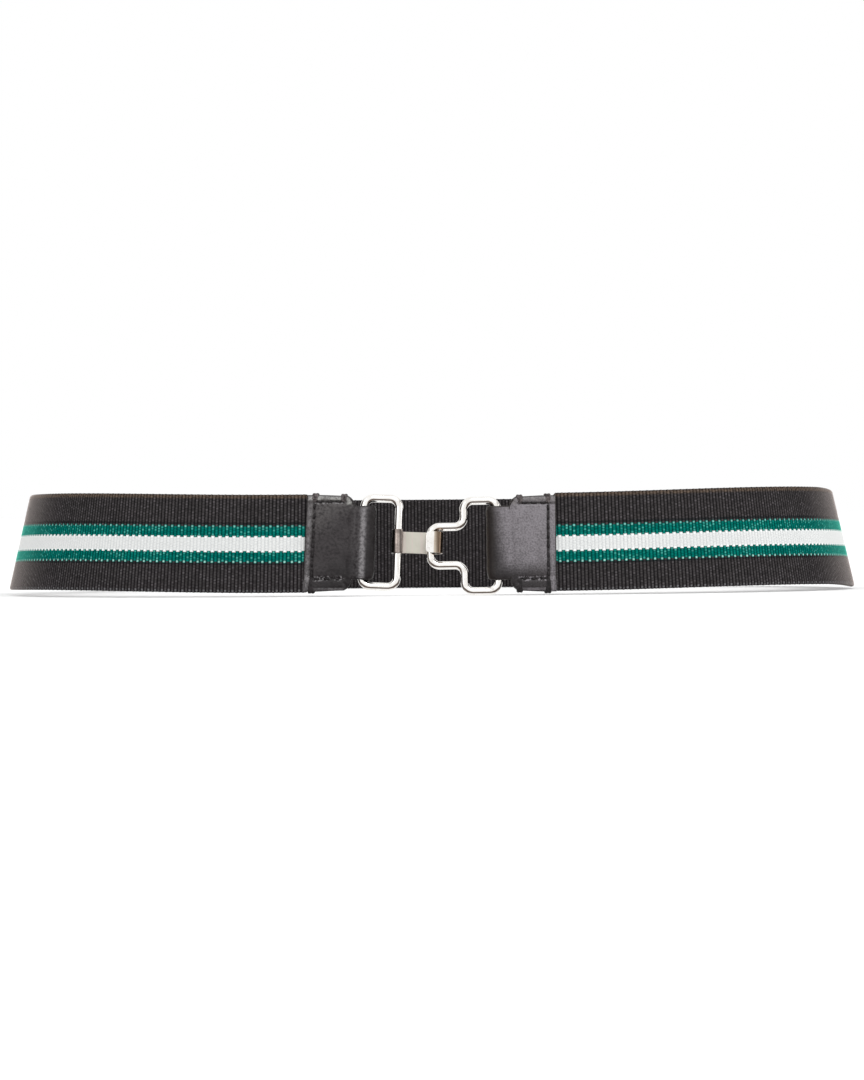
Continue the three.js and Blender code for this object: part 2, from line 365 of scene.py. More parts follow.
# How far each selvedge lies beyond its nominal height, at distances from the clasp's middle: it is
# squeezed inside the tabs, and the strip is a little wider beyond them, as the photo shows it
SELVEDGE_AT = (37.2, 38.6, 60, 150, 190, 245)
SELVEDGE_OUT = {
    ("left", "top"): (-1, 0, 0, 0.08, 0.3, 0),
    ("left", "bottom"): (-0.5, 0.33, 0.4, 0.26, 0.02, 0),
    ("right", "top"): (-1, 0.3, 0.36, 0.66, 0.05, 0),
    ("right", "bottom"): (-0.5, 0.05, 0.1, 0.22, 0.72, 0),
}
SELVEDGE_REACH = 9
# Heights of the strip's points on its outer and inner face, and its section's unrolled length
OUTER_HEIGHTS = (0.25, 0.7, 1.3, 5, 8.9, 9.5, 12.1, 12.7, 14.7, 16.6, 17.2, 20, 20.6, 25, 28.7, 29.3, 29.75)
INNER_HEIGHTS = (29.75, 29, 22, 15, 8, 1, 0.25)
EDGE_THIN = 0.2
EDGE_FLAT = 0.25
UNROLLED = 62
HAZE_SLANT = (0.46, 1.13)
BAKE_LENGTHS = 3
BAKE_MARGIN = 0.002
BAKE_GAP = 0.01


def webbing_material():
    material, t, shader = new_material("webbing_weave")
    uv = t.node("UVMap", uv_map="weave").outputs[0]
    rib, up = t.node("SeparateXYZ", uv).outputs[:2]
    number = t.math("FLOOR", rib)
    odd = t.math("MODULO", number, 2)
    off_crest = t.away(t.math("FRACT", rib), 0.5)
    # Floats are two yarns tall, and lie half their height higher on every other rib
    float_at = t.times(t.math("ADD", t.math("DIVIDE", up, YARN), odd), 0.5)
    level = t.math("FLOOR", float_at)
    off_float = t.away(t.math("FRACT", float_at), 0.5)
    centre = t.times(t.math("SUBTRACT", t.ramp(level, 2, 1), odd), YARN)

    def between(low, high):
        return t.times(t.math("GREATER_THAN", centre, low), t.math("LESS_THAN", centre, high))

    def by_stripe(black_tone, green_tone, white_tone):
        return t.mix(white, t.mix(green, black_tone, green_tone), white_tone)

    slow = t.span(t.noise(t.scaled(uv, 0.05, 0.25, 1)), 0.35, 0.65)
    speck = t.noise(t.scaled(uv, 1.1, 1.6, 1), detail=3, rough=0.6)
    fuzz = t.noise(t.scaled(uv, 4, 9, 1), detail=3, rough=0.65)
    cell = t.node("CombineXYZ", number, level)
    chance = t.node("TexWhiteNoise", cell, noise_dimensions="3D").outputs["Value"]
    by_rib = t.node("TexWhiteNoise", t.node("CombineXYZ", number, 0.5), noise_dimensions="3D")
    green, white = between(GREEN_FROM, GREEN_TO), between(WHITE_FROM, WHITE_TO)
    ridge = t.mix(slow, by_stripe(*CREST_DEEP), by_stripe(*CREST_PALE))
    groove_shade = by_stripe(*GROOVE_SHADE)

    # Here and there a float lies so that it glints, or is duller
    coloured = t.rest(white)
    glint = t.times(t.span(chance, 0.58, 0.92), t.span(off_float, 0.48, 0.1), t.span(off_crest, 0.42, 0.1))
    ridge = t.mix(t.times(glint, coloured, 0.8), ridge, by_stripe(*GLINT))
    dull = t.most(t.span(chance, 0.3, 0.05, 0, 0.3), t.span(by_rib, 0.35, 0, 0, 0.18))
    ridge = t.mix(t.times(dull, coloured), ridge, groove_shade)

    # Floats at the edges of the stripes stand proud on every other rib and catch the light
    knob = t.times(odd, t.span(off_crest, 0.42, 0.12), t.span(off_float, 0.5, 0.2))
    for row, strength, tone in TIPS:
        on_row = t.math("LESS_THAN", t.away(centre, row * YARN), YARN / 2)
        ridge = t.mix(t.times(knob, on_row, strength), ridge, tone)

    # Warm brown along the top edge, and light loops along the bottom one
    warm = t.times(t.span(up, *WARM_FROM), t.span(up, *WARM_TO), t.span(speck, 0.3, 0.6, 0.45, 0.95),
                   t.ramp(t.rest(odd), 0.2, 0.8))
    ridge = t.mix(warm, ridge, (0.14, 0.104, 0.078))
    groove_shade = t.mix(t.times(warm, 0.8), groove_shade, (0.07, 0.046, 0.032))
    loops = t.times(t.near(up, LOOPS_AT, 0.55, 0.15), t.ramp(odd, 0.7, 0.3),
                    t.span(off_crest, 0.45, 0.15), 0.75)
    ridge = t.mix(loops, ridge, (0.19, 0.185, 0.195))

    # The grooves between the ribs are darker as painted shade
    base = t.mix(t.span(off_crest, 0.14, 0.47), ridge, groove_shade)
    # The black sinks into shade where it meets the green
    shade = t.most(t.near(up, GREEN_TO + 0.75, 0.55, 0.1), t.near(up, GREEN_FROM - 0.6, 0.5, 0.1))
    base = t.mix(t.times(shade, t.rest(green), 0.6), base, (0.006, 0.01, 0.012))
    # Dark gaps between one float and the next, and uneven yarn
    gap = t.times(t.span(off_float, 0.3, 0.5), t.ramp(white, -0.3, 0.36))
    base = t.mix(gap, base, (0.002, 0.003, 0.003))
    uneven = t.times(t.span(speck, 0.35, 0.62, 0.36, 0), t.ramp(white, -0.85, 1))
    base = t.mix(uneven, base, (0.001, 0.002, 0.002))
    base = t.mix(t.span(fuzz, 0.35, 0.7, 0, 0.16), base, (0, 0, 0))

    # Loose fibres show as a pale haze where the strip as a whole is seen at a slant
    outwards = t.node("VectorTransform", t.node("Attribute", attribute_name="outwards").outputs["Vector"],
                      vector_type="NORMAL", convert_from="OBJECT", convert_to="WORLD")
    slant = t.node("LayerWeight", 0.5, outwards).outputs["Facing"]
    bow = t.rest(t.math("POWER", t.times(off_float, 2), 2.5))
    t.set(shader, Base_Color=base, Roughness=t.span(fuzz, 0.3, 0.7, 0.74, 0.9), Specular_IOR_Level=0,
          Normal=t.bump(0.8, 0.00009, t.math("ADD", bow, t.times(fuzz, 0.5))), Sheen_Roughness=0.5,
          Sheen_Weight=t.span(slant, *HAZE_SLANT), Sheen_Tint=by_stripe(*HAZE_TINT))
    return material


def webbing_section():
    """The section's ring as (outwards, up, relief share) and its unrolled heights."""
    half = WEBBING_THICKNESS / 2

    def face(heights, side):
        ends = (heights[0], heights[-1])
        return [(side * (half - EDGE_THIN if up in ends else half), up, side) for up in heights]

    def edge(up, side):
        return [(side * EDGE_FLAT, up, 0), (-side * EDGE_FLAT, up, 0)]

    ring = face(OUTER_HEIGHTS, 1) + edge(WEBBING_WIDTH, 1) + face(INNER_HEIGHTS, -1) + edge(0, -1)
    # Each rounded edge takes up the length between the two faces
    unrolled = [*OUTER_HEIGHTS, 30.3, 30.8]
    unrolled += [31.2 + (INNER_HEIGHTS[0] - up) for up in INNER_HEIGHTS]
    return np.array(ring), np.array(unrolled + [61.2, 61.7, UNROLLED])


def selvedge_shift(along, up):
    """How far the strip's uneven width moves its points up or down."""
    from_clasp = np.minimum(along, WAIST_LENGTH - along)
    share = {"top": np.clip((up - WEBBING_WIDTH + SELVEDGE_REACH) / SELVEDGE_REACH, 0, 1),
             "bottom": -np.clip((SELVEDGE_REACH - up) / SELVEDGE_REACH, 0, 1)}
    shift = 0
    for (side, edge), beyond in SELVEDGE_OUT.items():
        # The belt runs from the right tab round the back to the left one
        on_side = (along < WAIST_LENGTH / 2) == (side == "right")
        shift = shift + np.where(on_side, np.interp(from_clasp, SELVEDGE_AT, beyond), 0) * share[edge]
    return shift


def webbing_uvs(rib, unrolled, i, j):
    """Coordinates of the weave, in ribs and unrolled millimetres, and of the bake."""
    u = stacked(rib[i], rib[i + 1], rib[i + 1], rib[i])[:, ::-1]
    v = stacked(unrolled[j], unrolled[j], unrolled[j + 1], unrolled[j + 1])[:, ::-1]
    # For the bake, the strip is cut into lengths, laid one above the other
    last = len(rib) - 1
    per = -(-last // BAKE_LENGTHS)
    which = (i // per)[:, None]
    share = (u - rib[np.minimum(which * per, last)]) * len(RIB_SAMPLES) / per
    bake_u = 2 * BAKE_MARGIN + (1 - 4 * BAKE_MARGIN) * share
    bake_v = (which + BAKE_GAP + (1 - 2 * BAKE_GAP) * v / UNROLLED) / BAKE_LENGTHS
    return stacked(u, v).reshape(-1, 2), stacked(bake_u, bake_v).reshape(-1, 2)


def make_webbing():
    ring, unrolled = webbing_section()
    out, level, side = ring.T
    offsets, heights = np.array(RIB_SAMPLES).T
    rib = np.append((np.arange(RIBS)[:, None] + offsets).ravel(), RIBS)
    relief = np.append(np.tile(heights, RIBS), heights[0])[:, None]
    along = (WEBBING_END + rib * (WAIST_LENGTH - 2 * WEBBING_END) / RIBS)[:, None]
    odd = (np.floor(rib) % 2)[:, None]
    # Loops of the crossing yarn make each selvedge a little uneven
    dent = SELVEDGE_DENT * (1 - np.clip(relief / RIB_CREST, 0, 1) * (1 - 0.5 * odd))
    up = level - dent * (level == WEBBING_WIDTH) + dent * (level == 0) + selvedge_shift(along, level)
    outwards = out + relief * side
    points = on_loop(along, outwards, up).reshape(-1, 3)
    facing = on_loop(along, outwards + side, up).reshape(-1, 3) - points
    columns, rows = len(rib), len(ring)
    quads, i, j = lattice_faces(columns, rows, closed_rows=True)
    weave, bake = webbing_uvs(rib, unrolled, i, j)
    # The belt runs anticlockwise seen from above, and a section's ring runs up its outside
    faces = quads[:, ::-1].tolist()
    faces += [list(range(rows)), [(columns - 1) * rows + k for k in reversed(range(rows))]]
    ends = np.ones((2 * rows, 2))
    uvs = {"weave": np.concatenate([weave, ends * (0.5, 5)]),
           "OFBake": np.concatenate([bake, ends * BAKE_MARGIN])}
    obj = make_object("webbing_woven", points, faces, [webbing_material()], uvs=uvs,
                      attributes={"outwards": facing})
    return finish_piece(obj, "webbing_band")


# Leather tabs. Distances x run along the belt from the clasp's middle, heights z as above.
STITCH_X = 36.3
STITCH_TOP = {"left": 27.65, "right": 27.15}
STITCH_BOTTOM = 4
STITCH_INNER = {"top": 27.4, "bottom": 26.9}
STITCH_SHOWN = (0.23, 0.77)
STITCH_COUNTS = (8, 3, 3)
THREAD = 0.8
# Rows of points over a cut edge's rounding, and on the face between two edges
EDGE_STEPS = np.array([0, 0.06, 0.16, 0.35])
EDGE_ROUND = EDGE_STEPS[-1]
FACE_ROWS = 88
# How far the tab's outline lies inside the webbing's edges, and how its shoulder is shaped
EDGE_INSET = {"left": 0, "right": -0.1}
TOP_INSET = {"left": 0.25, "right": 0.5}
SHOULDER_DROP = 0.5
SHOULDER_BULGE = 0.15
SHOULDER_DROOP = 0.3
DROOP_FROM = 36
TONGUE_CORNER = 0.45
NOSE_FLAT = 0.15
# The faces are rounded off towards the outline, and sunk or raised in millimetres elsewhere
PILLOW = 0.42
PILLOW_WIDTH = 1.9
GROOVE_DEPTH = dict(strip=0.28, seam=0.26, end=0.18)
HOLE_DEPTH = 0.2
WAVES = (0.06, 0.045)
CREASES = 0.16
HIDE_OFFSET = {"left": 0, "right": 60}
# How far the tab's outer part is pulled towards the clasp, and how far it leans further
PULL = {"left": 0, "right": 0.6}
PULL_LEAN = {"left": 0, "right": math.radians(1.4)}
PULL_SPAN = (24, 36)


def tab_path(side):
    """Outer and inner line of a tab's level section from the front's outer edge to the fold's
    nose, as (distance along the belt, outwards)."""
    wire, fold = WIRE_AT[side], WIRE_AT[side] - FOLD_SLACK[side]
    pocket, bore = WEBBING_THICKNESS / 2 + GAP, WIRE / 2 + GAP
    turn = np.linspace(math.pi / 2, math.pi, 16)

    def joined(flat, shoulder, waist, eases, wrap, nose):
        """One line: its level face, shoulder, waist, wrap round the wire and nose."""
        a, b, c, d = shoulder
        return np.concatenate([
            stacked(OUTER_EDGE - EDGE_STEPS, flat), line((OUTER_EDGE - 0.6, flat), (a, flat), 46),
            bezier([(a, flat), (b, flat), (c, waist), (d, waist)], 14)[1:],
            bezier([(d, waist), (wire + eases[0], waist), (wire + eases[1], wrap), (wire, wrap)], 18)[1:],
            line((wire, wrap), (fold, wrap), 6)[1:],
            stacked(fold + nose * np.cos(turn), wrap * np.sin(turn))[1:]])

    shoulder = (SHOULDER_WIDE, SHOULDER_WIDE - SHOULDER_ROUND, SHOULDER_NARROW + SHOULDER_ROUND,
                SHOULDER_NARROW)
    wrap = bore + LEATHER
    outer = joined(pocket + LEATHER, shoulder, WAIST_HALF, (FOLD_EASE, FOLD_EASE), wrap, wrap - NOSE_FLAT)
    taper = [POCKET_END - off for off in POCKET_TAPER]
    return outer, joined(pocket, taper, MEETING_HALF, BORE_EASE, bore, bore)


def tab_heights(x, side):
    """Lowest and highest point of a tab at distances x along the belt."""
    tongue = WEBBING_WIDTH - TONGUE_INSET
    tip = WIRE_AT[side] - FOLD_SLACK[side] - WIRE / 2 - GAP - LEATHER + NOSE_FLAT
    t = np.linspace(0, 1, 40)

    def curve(a, b, c):
        return a * (1 - t) ** 2 + 2 * b * t * (1 - t) + c * t * t

    def outline(inset):
        edge = WEBBING_WIDTH - inset - SHOULDER_DROOP
        xs = curve(SHOULDER_WIDE, SHOULDER_NARROW + SHOULDER_BULGE, SHOULDER_NARROW)
        tops = curve(edge, edge - SHOULDER_DROP, tongue)
        corner_x = curve(tip + TONGUE_CORNER, tip, tip)
        corner_top = curve(tongue, tongue, tongue - TONGUE_CORNER)
        top = np.interp(x, np.concatenate([xs, corner_x])[::-1], np.concatenate([tops, corner_top])[::-1])
        return top + SHOULDER_DROOP * smoothstep(x, SHOULDER_WIDE, DROOP_FROM)

    return WEBBING_WIDTH - outline(EDGE_INSET[side]), outline(TOP_INSET[side])


def bump_at(distance, width):
    return np.exp(-(distance / width) ** 2)


def stitch_runs(side):
    """Start and end of each stitch on one face of a tab, as (x, z) pairs."""
    runs = []
    high = STITCH_TOP[side]
    rows = (((STITCH_X, STITCH_BOTTOM), (STITCH_X, high)), ((STITCH_INNER["top"], high), (STITCH_X, high)),
            ((STITCH_INNER["bottom"], STITCH_BOTTOM), (STITCH_X, STITCH_BOTTOM)))
    for (a, b), count in zip(np.array(rows, float), STITCH_COUNTS):
        for k in range(count):
            runs.append(tuple(a + (b - a) * (k + share) / count for share in STITCH_SHOWN))
    return runs


def tab_relief(x, z, side, face):
    """How far the leather's outer face stands out of its plain section, in millimetres."""
    relief = -GROOVE_DEPTH["strip"] * bump_at(x - STITCH_X, 0.6)
    high, low = STITCH_TOP[side], STITCH_BOTTOM
    for seam, inner, beyond in ((high, STITCH_INNER["top"], smoothstep(z, high - 0.5, high)),
                                (low, STITCH_INNER["bottom"], 1 - smoothstep(z, low, low + 0.5))):
        on_seam = smoothstep(x, inner - 0.6, inner) * (1 - smoothstep(x, STITCH_X, STITCH_X + 0.3))
        relief = relief - GROOVE_DEPTH["seam"] * on_seam * bump_at(z - seam, 0.5)
        relief = relief - GROOVE_DEPTH["end"] * beyond * bump_at(x - inner, 0.6)
    # Leather pulled down at each needle hole
    for run in stitch_runs(side):
        for hole_x, hole_z in run:
            relief = relief - HOLE_DEPTH * bump_at(np.hypot(x - hole_x, z - hole_z), 0.5)
    phase = {"left": 0, "right": 1.7}[side] + {1: 0, -1: 2.3}[face]
    relief = relief + WAVES[0] * np.sin(x * 0.9 + 1.3 * np.sin(z * 0.35 + phase) + phase)
    relief = relief + WAVES[1] * np.sin(z * 1.1 + 1.1 * np.sin(x * 0.8 - phase))
    # Short creases where the shoulder is pinched
    from_middle = np.abs(z - WEBBING_WIDTH / 2)
    near = smoothstep(x, 23.4, 24.6) * (1 - smoothstep(x, 26.2, 27.4)) * smoothstep(from_middle, 8.5, 12.5)
    return relief + CREASES * near * np.sin((x * 1.2 + (from_middle - 11) * 1.5) * 2 + phase)


def tab_point(side, x, out, z):
    sign = -1 if side == "left" else 1
    above = z - WEBBING_WIDTH / 2
    pulled = smoothstep(x, *PULL_SPAN) * (PULL[side] - above * math.tan(PULL_LEAN[side]))
    return on_loop(sign * (x - pulled) + above * np.tan(TAB_TILT[side]), out, z)


# Leather. Colours: painted shade deep in the fold (the same dark is used for the cut edges' paint),
# at the fold's nose, painted shade, plain, painted light towards the upper edge, the pale colour laid
# as painted light and on specks, and where an edge catches the light. Then the upper edge's polish
# and how dull it is, the mottling's scale, and how much of the strip's painted light, its ridge's
# painted highlight, the stitched groove, the pale specks and the lower rim's painted highlight is seen.
LEATHER_LOOK = {
    "left": SimpleNamespace(
        deep=(0.012, 0.0095, 0.01), nose=(0.012, 0.0095, 0.01), shade=(0.015, 0.0125, 0.0135),
        body=(0.033, 0.0285, 0.03), upper=(0.07, 0.064, 0.064), worn=(0.19, 0.18, 0.186),
        light=(0.265, 0.262, 0.25), edge_polish=0.5, edge_dull=0, mottle=1.15,
        strip=0.3, ridge=0.65, sunk=0.8, specks=0.8, rim=(0.25, 0.5)),
    "right": SimpleNamespace(
        deep=(0.0155, 0.0115, 0.01), nose=(0.038, 0.0265, 0.018), shade=(0.022, 0.019, 0.02),
        body=(0.035, 0.03, 0.031), upper=(0.045, 0.04, 0.041), worn=(0.19, 0.175, 0.189),
        light=(0.15, 0.138, 0.14), edge_polish=0.2, edge_dull=0.55, mottle=1.75,
        strip=0.7, ridge=0.95, sunk=0.75, specks=0.9, rim=(0.38, 0.6)),
}
# Where on the hide painted shade darkens the fold, the nose takes its own colour, painted
# highlights lie on the crest and the strip's ridge, and the lower rim's painted highlight shows
FOLD_SHADE = (20.2, 18.4)
NOSE_TONE = (17.7, 16.9)
CREST_AT = 21.1
STRIP_RIDGE_AT = STITCH_X + 1.35
RIM_AT = 0.75


def hide_fields(t, side, look):
    """Where a point lies on the hide, and the patterns that its colours are mixed by."""
    uv = t.node("UVMap", uv_map="hide").outputs[0]
    along, z = t.node("SeparateXYZ", uv).outputs[:2]
    x, high = t.math("ABSOLUTE", along), STITCH_TOP[side]
    place = t.moved(uv, HIDE_OFFSET[side], 0, 0)
    # The cut edge is painted dark, and so is the corner of the upper shoulder
    from_edge = t.node("Attribute", attribute_name="from_edge").outputs["Fac"]
    painted = t.most(t.times(t.span(from_edge, 0.5, 0.22), t.span(z, 3, 4)),
                     t.times(t.span(from_edge, 0.9, 0.6), t.span(x, 25.6, 25.3), t.span(z, 26, 27)))
    sunk = t.most(t.times(t.near(x, STITCH_X, 0.7, 0.3), look.sunk),
                  t.times(t.near(z, high, 0.6, 0.25), t.span(x, 26, 26.8), 0.85))
    return SimpleNamespace(
        x=x, z=z, high=high, place=place, painted=painted, unpainted=t.rest(painted), raised=t.rest(sunk),
        # The distance is negative on the side towards the wearer
        front=t.math("GREATER_THAN", along, 0),
        edge=t.times(t.span(z, high + 0.15, high + 0.7), t.span(x, 26.8, 27.8)),
        on_strip=t.span(x, STITCH_X + 0.35, STITCH_X + 0.9),
        fine=t.noise(place, 3.4, 3, 0.6), mottle=t.noise(place, look.mottle, 3, 0.65),
        patches=t.span(t.noise(place, 0.62, 3, 0.65), 0.42, 0.6), broad=t.noise(place, 0.28, 2, 0.5))


def hide_ground(t, h, look):
    """The hide's colour beneath the painted light: painted light towards the upper outer corner and
    painted shade towards the fold's lower end."""
    # Painted shade low down and painted light towards the upper outer corner
    rise = t.ramp(t.math("SUBTRACT", h.x, 30), 0.8, h.z)
    base = t.mix(t.span(rise, 2, 13), look.shade, look.body)
    base = t.mix(t.span(rise, 18, 28), base, look.upper)
    # Painted shade inside the fold, then the nose's own colour, the same painted shade on the left tab
    base = t.mix(t.span(h.x, *FOLD_SHADE), base, look.deep)
    base = t.mix(t.span(h.x, *NOSE_TONE), base, look.nose)
    uneven = t.times(t.span(h.mottle, 0.38, 0.6, 0.75, 0), t.span(h.broad, 0.35, 0.65, 0.5, 1))
    base = t.mix(uneven, base, (0.006, 0.004, 0.005))
    return t.mix(t.times(h.painted, 0.8), base, look.deep)


def hide_painted_light(t, h, side, look):
    """How much of the pale colour shows as painted light. It stops in the stitched grooves."""
    if side == "left":
        # A painted highlight on the crest where the fold passes over the wire, with a tail away from the
        # clasp
        tail = t.times(t.span(h.x, 25.5, 21.2), t.span(h.x, 20.6, 21.2), 0.26)
        face = t.times(t.most(t.near(h.x, CREST_AT, 1.5, 0), tail),
                       t.span(h.mottle, 0.36, 0.6, 0.42, 1.25), t.span(h.z, 2.5, 5.5, 0.5, 1))
    else:
        # Painted light over the whole face, away from the fold and the lower edge
        skewed = t.ramp(t.math("SUBTRACT", h.z, WEBBING_WIDTH / 2), 0.07, h.x)
        face = t.times(t.span(skewed, 18.8, 24), t.span(h.z, 4.6, 10.4, 0.04, 1),
                       t.span(h.z, 8, 26, 0.84, 1.1), t.span(h.mottle, 0.36, 0.62, 0.56, 1.18),
                       t.span(h.broad, 0.3, 0.7, 0.8, 1.16))
    # Painted light on the strip, a painted highlight along its ridge, and one on the lower rim
    ridge = t.times(t.near(h.x, STRIP_RIDGE_AT, 0.75, 0.15), t.span(h.patches, 0, 1, 0.15, 1), look.ridge)
    strip = t.times(h.on_strip, t.most(t.times(t.span(h.mottle, 0.36, 0.62, 0.3, 1.2), look.strip), ridge))
    rim = t.times(t.near(h.z, RIM_AT, 0.6, 0.25), t.span(h.x, 25.6, 26.4),
                  t.span(h.patches, 0, 1, *look.rim))
    return t.times(t.most(face, strip, rim), h.raised, h.unpainted, t.span(h.fine, 0.32, 0.62, 0.7, 1.1))


def hide_marks(t, h, look, base):
    """Painted shade along the seams, the lit upper edge, pores and nicks, and pale specks."""
    # Painted shade in the stitched groove and where the needle pulled the hide down along the seams
    level = t.most(t.near(h.z, h.high, 0.5, 0.2), t.near(h.z, STITCH_BOTTOM, 0.5, 0.2))
    seam_shade = t.times(level, t.span(h.x, STITCH_INNER["bottom"], STITCH_INNER["top"]),
                    t.span(h.x, STITCH_X + 0.3, STITCH_X))
    pulled = t.span(t.noise(h.place, 0.75, 2, 0.5), 0.44, 0.53, 0.1, 0.8)
    seam_shade = t.most(t.near(h.x, STITCH_X, 0.55, 0.25), seam_shade)
    base = t.mix(t.times(seam_shade, pulled), base, (0.004, 0.003, 0.003))
    # The upper edge and the shoulder catch the light in patches
    base = t.mix(t.times(h.edge, look.edge_dull), base, look.deep)
    shoulder = t.times(t.near(h.x, 25.6, 1.2, 0.5), t.span(h.z, 26.2, 27.2))
    caught = t.times(t.most(t.times(h.edge, t.span(h.patches, 0, 1, 0.3, 1)), shoulder), h.raised,
                     h.unpainted, t.span(h.mottle, 0.36, 0.6, 0.45, 1), t.ramp(h.front, 0.8, 0.2))
    base = t.mix(caught, base, look.light)
    nick = t.times(t.span(t.noise(h.place, 2 * look.mottle, 2, 0.6), 0.55, 0.74),
                   t.most(t.span(h.broad, 0.35, 0.65, 0.3, 0.75), t.times(h.on_strip, 0.8)))
    base = t.mix(nick, base, (0.014, 0.011, 0.012))
    # Light specks beside the seams, more of them at the strip
    beside = t.most(t.times(t.near(h.z, STITCH_BOTTOM, 1.1, 0.5), h.raised),
                    t.times(t.near(h.z, h.high - 0.55, 0.35, 0.1), t.span(h.x, 36.6, 36)))
    chance = t.ramp(t.span(h.x, 34.4, 35.2), 0.07, t.noise(h.place, 1.3, 2, 0.5))
    pale_specks = t.times(beside, t.span(h.x, 26, 27), t.span(h.x, 38.4, 37.8), t.span(chance, 0.5, 0.6),
                     look.specks)
    return t.mix(pale_specks, base, look.worn)


def leather_material(side):
    look = LEATHER_LOOK[side]
    material, t, shader = new_material(f"leather_{side}")
    h = hide_fields(t, side, look)
    # The pale colour is laid where light is painted on the hide
    base = t.mix(hide_painted_light(t, h, side, look), hide_ground(t, h, look), look.worn)
    cells = t.node("TexVoronoi", feature="SMOOTH_F1", Vector=h.place, Scale=2.1, Smoothness=0.5)
    grain = t.math("ADD", cells.outputs[0], t.times(h.fine, 0.6))
    height = t.math("ADD", grain, t.times(h.mottle, 1.8))
    t.set(shader, Base_Color=hide_marks(t, h, look, base), Normal=t.bump(0.6, 0.0001, height),
          Specular_IOR_Level=t.ramp(h.edge, look.edge_polish, 0.25),
          Roughness=t.ramp(h.edge, -0.16, t.span(h.fine, 0.3, 0.7, 0.38, 0.52)))
    return material


def tab_rows(x, from_end, side):
    """Heights of a tab's rows at distances x, and how far each point is from the sides, and from
    the outline square to where it slopes."""
    low, high = (height[:, None] for height in tab_heights(x, side))
    share = np.linspace(0, 1, FACE_ROWS + 2)[1:-1]
    face = low + EDGE_ROUND + (high - low - 2 * EDGE_ROUND) * share
    z = np.concatenate([low + EDGE_STEPS, face, high - EDGE_STEPS[::-1]], axis=1)
    from_side = np.minimum(z - low, high - z)
    step = 0.05
    slope = (tab_heights(x + step, side)[1] - tab_heights(x - step, side)[1]) / (2 * step)
    return z, from_side, np.minimum(from_side / np.hypot(1, slope)[:, None], from_end)


def tab_quads(side, columns, count):
    """Faces of a tab whose columns are rings of points, closed at both ends."""
    quads, _, _ = lattice_faces(columns, count, closed_rows=True)
    k = np.arange(count // 2 - 1)
    cap = stacked(k, k + 1, count - 2 - k, count - 1 - k)
    quads = np.concatenate([quads, cap, (cap + (columns - 1) * count)[:, ::-1]])
    return quads[:, ::-1] if side == "right" else quads


def make_tab(side):
    outer, inner = (np.concatenate([path, path[-2::-1] * (1, -1)]) for path in tab_path(side))
    columns, run = len(outer), run_along(outer)
    normal = -left_of(np.gradient(outer, axis=0))[:, None]
    from_end = np.minimum(run, run[-1] - run)[:, None]
    z, from_side, from_outline = tab_rows(outer[:, 0], from_end, side)
    from_edge = np.minimum(from_side, from_end)
    sunk = EDGE_ROUND - np.sqrt(EDGE_ROUND ** 2 - np.clip(EDGE_ROUND - from_edge, 0, EDGE_ROUND) ** 2)
    pillow = PILLOW * np.maximum(1 - from_side / PILLOW_WIDTH, 0) ** 2
    pillow = pillow + 0.5 * PILLOW * np.maximum(1 - from_end / PILLOW_WIDTH, 0) ** 2
    front = (np.arange(columns) < columns / 2)[:, None]
    relief = np.where(front, *(tab_relief(outer[:, :1], z, side, face) for face in (1, -1)))
    lift = relief * smoothstep(from_edge, 0, 0.5) - sunk - np.minimum(pillow, 0.9 * PILLOW)
    # Each column is a ring, up the outer face and down the inner one
    outer_face = outer[:, None] + normal * lift[..., None]
    inner_face = inner[:, None] + normal * (sunk * 0.6)[..., None]
    x, y = np.moveaxis(np.concatenate([outer_face, inner_face[:, ::-1]], axis=1), -1, 0)
    z = np.concatenate([z, z[:, ::-1]], axis=1)
    count = z.shape[1]
    quads = tab_quads(side, columns, count)
    hide = stacked(x.ravel(), z.ravel())[quads.ravel()]
    hide[np.repeat(quads.min(axis=1) // count >= columns // 2, 4), 0] *= -1
    down = np.linspace(0, 1, count // 2)
    bake = stacked((run / run[-1])[:, None], np.concatenate([0.82 * down, 1 - 0.16 * down]))
    bake = bake.reshape(-1, 2)[quads.ravel()] * (1 - 2 * BAKE_MARGIN) + BAKE_MARGIN
    from_outline = np.concatenate([from_outline, from_outline[:, ::-1]], axis=1)
    obj = make_object(f"tab_{side}_leather", tab_point(side, x, y, z).reshape(-1, 3), quads.tolist(),
                      [leather_material(side)], uvs={"hide": hide, "OFBake": bake},
                      attributes={"from_edge": from_outline.ravel()})
    return finish_piece(obj, f"leather_tab_{side}")


def tab_cut(side):
    """A tab's flat width, length and area in metres, measured along its middle line."""
    middle = sum(tab_path(side)) / 2
    step = np.diff(run_along(middle))
    low, high = tab_heights(middle[:, 0], side)
    tall = high - low
    area = 2 * np.sum(step * (tall[1:] + tall[:-1]) / 2)
    return tall.max() * MM, 2 * step.sum() * MM, area * MM * MM


# Stitches. Knobs are turns of thread over the tab's edge at a seam's end, as (x, edge).
KNOB_TURNS = (-0.52, 0, 0.5)
KNOB_PROUD = 0.16
KNOB_SPREAD = 0.55
# A turn's line, outwards from the tab's face, at heights above the seam and then below the rim
KNOB_FOOT = ((-0.1, -0.9), (0.3, -0.35))
KNOB_BEND = ((1.1, -0.32), (0.35, -0.45), (0.05, -0.9), (0, -1.5))
# How deep a stitch's ends lie, how far it rises between them, and how far it slants
STITCH_DEEP = 0.85
STITCH_RISE = 0.55
STITCH_SLANT = 0.1
KNOBS = {"left": ((STITCH_X, "top"), (STITCH_INNER["top"], "top"), (STITCH_X, "bottom"))}
KNOBS["right"] = KNOBS["left"] + ((STITCH_INNER["bottom"], "bottom"),)
THREAD_SIDES = 10
STRANDS = 3
STRAND_RELIEF = 0.15
STRAND_TWIST = 2.4
# Colours of the thread, and of the knobs on the upper edge, which are rubbed and paler with painted light
# from above
THREADS = {"thread_black": ((0.006, 0.005, 0.0055), (0.022, 0.018, 0.0195)),
           "thread_rubbed_and_lit": ((0.02, 0.016, 0.016), (0.12, 0.102, 0.102))}


